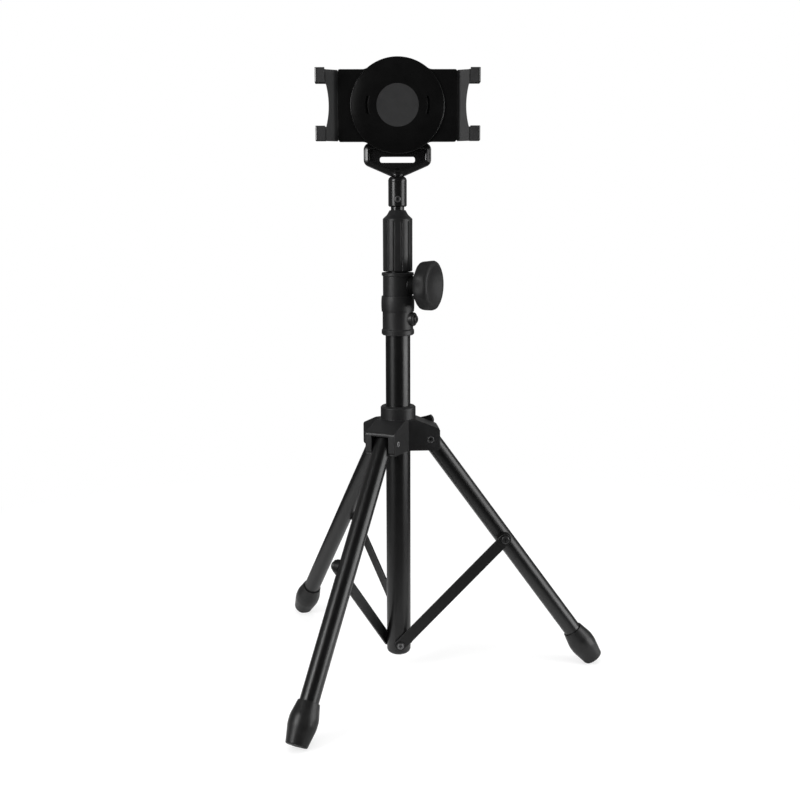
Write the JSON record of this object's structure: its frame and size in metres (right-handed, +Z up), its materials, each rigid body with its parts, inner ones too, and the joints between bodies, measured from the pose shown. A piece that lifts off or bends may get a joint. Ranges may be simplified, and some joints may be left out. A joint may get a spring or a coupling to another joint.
{
  "type": "tablet floor stand",
  "caption": "Adjustable floor stand: folding tripod base with sliding hub and braces, telescoping mast and a spring-loaded tablet holder that turns and tilts.",
  "frame": {"origin": "on the floor under the mast's axis", "axes": "+Z up along the mast; -Y is the front, where the tablet faces; the right leg points 3 degrees behind +X"},
  "size_m": [0.4078, 0.4539, 0.7469],
  "materials": {
    "tube_coat": "satin black powder coat",
    "rod_coat": "gloss black coat",
    "brace_coat": "satin black coat",
    "moulded_plastic": "fine moulded texture",
    "bearing_plastic": "plain",
    "grip_plastic": "ribbed, fine moulded texture",
    "gloss_coat": "gloss black",
    "yoke_plastic": "gloss black",
    "holder_plastic": "satin black",
    "plate_plastic": "flat dark grey",
    "foot_rubber": "matte black",
    "pad_rubber": "matte black",
    "dark_screws": "black oxide",
    "plated_rivets": "dull plated",
    "spring_steel": "plain wire"
  },
  "bodies": {
    "mast": {"outer_tube": "tube_coat", "mast_end_plug": "moulded_plastic", "brace_foot_rivets": "plated_rivets", "collar_lower_sleeve": "moulded_plastic", "collar_band": "moulded_plastic", "collar_upper_sleeve": "moulded_plastic", "collar_screw": "dark_screws", "collar_bush": "bearing_plastic", "pressure_pad": "bearing_plastic"},
    "knob": {"height_knob": "moulded_plastic", "height_knob_screw": "dark_screws"},
    "middle_section": {"middle_tube": "tube_coat", "middle_tube_guide": "bearing_plastic", "twist_lock_body": "bearing_plastic", "twist_lock_collet": "bearing_plastic"},
    "grip": {"twist_grip": "grip_plastic"},
    "upper_section": {"upper_rod": "rod_coat", "upper_rod_guide": "bearing_plastic", "neck_sleeve": "gloss_coat", "neck_set_screw": "dark_screws"},
    "head_yoke": {"yoke": "yoke_plastic", "tilt_bolt": "dark_screws", "tilt_nut_and_washer": "dark_screws"},
    "tilt_head": {"swivel_base": "yoke_plastic", "swivel_retainer": "bearing_plastic", "swivel_screw": "dark_screws"},
    "holder": {"holder_back_shell": "holder_plastic", "holder_front_cover": "holder_plastic", "centre_plate": "plate_plastic", "holder_screws": "dark_screws"},
    "right_jaw": {"right_wing": "holder_plastic", "right_claw_pads": "pad_rubber", "right_grip_spring": "spring_steel"},
    "left_jaw": {"left_wing": "holder_plastic", "left_claw_pads": "pad_rubber", "left_grip_spring": "spring_steel"},
    "pinion": {"wing_pinion": "bearing_plastic"},
    "hub": {"leg_hub": "moulded_plastic", "leg_pivot_bolts": "dark_screws", "leg_pivot_nuts": "dark_screws"},
    "hub_lock": {"hub_lock_knob": "moulded_plastic", "hub_lock_screw": "dark_screws"},
    "right_leg": {"right_leg_tube": "tube_coat", "right_leg_plug": "moulded_plastic", "right_rubber_foot": "foot_rubber", "right_brace_saddle": "moulded_plastic"},
    "right_brace_arm": {"right_brace": "brace_coat", "right_brace_bolt": "plated_rivets"},
    "front_leg": {"front_leg_tube": "tube_coat", "front_leg_plug": "moulded_plastic", "front_rubber_foot": "foot_rubber", "front_brace_saddle": "moulded_plastic"},
    "front_brace_arm": {"front_brace": "brace_coat", "front_brace_bolt": "plated_rivets"},
    "rear_leg": {"rear_leg_tube": "tube_coat", "rear_leg_plug": "moulded_plastic", "rear_rubber_foot": "foot_rubber", "rear_brace_saddle": "moulded_plastic"},
    "rear_brace_arm": {"rear_brace": "brace_coat", "rear_brace_bolt": "plated_rivets"}
  },
  "joints": [
    {"name": "hub_slide", "type": "slide", "parent": "mast", "child": "hub", "axis": [0, 0, 1], "range_m": [0, 0.07949]},
    {"name": "right_leg_fold", "type": "hinge", "parent": "hub", "child": "right_leg", "pos_m": [0.03845, 0.00201, 0.29832], "axis": [-0.0523, 0.9986, 0], "range_deg": [0, 35.9]},
    {"name": "right_brace_fold", "type": "hinge", "parent": "mast", "child": "right_brace_arm", "pos_m": [0.0008, 0.00004, 0.0353], "axis": [-0.0523, 0.9986, 0], "range_deg": [-32.63, 0]},
    {"name": "front_leg_fold", "type": "hinge", "parent": "hub", "child": "front_leg", "pos_m": [-0.01748, -0.0343, 0.29832], "axis": [0.891, -0.454, 0], "range_deg": [0, 35.9]},
    {"name": "front_brace_fold", "type": "hinge", "parent": "mast", "child": "front_brace_arm", "pos_m": [-0.00036, -0.00071, 0.0353], "axis": [0.891, -0.454, 0], "range_deg": [-32.63, 0]},
    {"name": "rear_leg_fold", "type": "hinge", "parent": "hub", "child": "rear_leg", "pos_m": [-0.02097, 0.03229, 0.29832], "axis": [-0.8387, -0.5446, 0], "range_deg": [0, 35.9]},
    {"name": "rear_brace_fold", "type": "hinge", "parent": "mast", "child": "rear_brace_arm", "pos_m": [-0.00044, 0.00067, 0.0353], "axis": [-0.8387, -0.5446, 0], "range_deg": [-32.63, 0]},
    {"name": "hub_lock_turn", "type": "hinge", "parent": "hub", "child": "hub_lock", "pos_m": [0.01362, 0.02673, 0.31082], "axis": [0.454, 0.891, 0], "range_deg": [0, 540]},
    {"name": "height_knob_turn", "type": "hinge", "parent": "mast", "child": "knob", "pos_m": [0.02719, -0.01268, 0.48512], "axis": [0.9063, -0.4226, 0], "range_deg": [0, 540]},
    {"name": "middle_tube_slide", "type": "slide", "parent": "mast", "child": "middle_section", "axis": [0, 0, 1], "range_m": [0, 0.3343]},
    {"name": "twist_grip_turn", "type": "hinge", "parent": "middle_section", "child": "grip", "pos_m": [0, 0, 0.53], "axis": [0, 0, 1], "range_deg": [0, 180]},
    {"name": "upper_rod_slide", "type": "slide", "parent": "middle_section", "child": "upper_section", "axis": [0, 0, 1], "range_m": [0, 0.3547]},
    {"name": "neck_turn", "type": "hinge", "parent": "upper_section", "child": "head_yoke", "pos_m": [0, 0, 0.613], "axis": [0, 0, 1], "continuous": true},
    {"name": "holder_tilt", "type": "hinge", "parent": "head_yoke", "child": "tilt_head", "pos_m": [0, 0.005, 0.69242], "axis": [-1, 0, 0], "range_deg": [0, 80]},
    {"name": "holder_spin", "type": "hinge", "parent": "tilt_head", "child": "holder", "pos_m": [0, -0.01, 0.69242], "axis": [0, -1, 0], "continuous": true},
    {"name": "right_jaw_slide", "type": "slide", "parent": "holder", "child": "right_jaw", "axis": [1, 0, 0], "range_m": [0, 0.03], "stiffness_N_per_m": 250, "springref_m": -0.02, "deforming": ["right_grip_spring"]},
    {"name": "left_jaw_slide", "type": "slide", "parent": "holder", "child": "left_jaw", "axis": [-1, 0, 0], "range_m": [0, 0.03], "stiffness_N_per_m": 250, "springref_m": -0.02, "deforming": ["left_grip_spring"]},
    {"name": "pinion_turn", "type": "hinge", "parent": "holder", "child": "pinion", "pos_m": [0, -0.0171, 0.69242], "axis": [0, -1, 0], "range_deg": [0, 214.9]}
  ],
  "couplings": [
    {"joint": "right_leg_fold", "follows": "hub_slide", "rad_per_m": 7.8821},
    {"joint": "right_brace_fold", "follows": "hub_slide", "rad_per_m": -7.1645},
    {"joint": "front_leg_fold", "follows": "hub_slide", "rad_per_m": 7.8821},
    {"joint": "front_brace_fold", "follows": "hub_slide", "rad_per_m": -7.1645},
    {"joint": "rear_leg_fold", "follows": "hub_slide", "rad_per_m": 7.8821},
    {"joint": "rear_brace_fold", "follows": "hub_slide", "rad_per_m": -7.1645},
    {"joint": "left_jaw_slide", "follows": "right_jaw_slide", "ratio": 1},
    {"joint": "pinion_turn", "follows": "right_jaw_slide", "rad_per_m": 125}
  ]
}
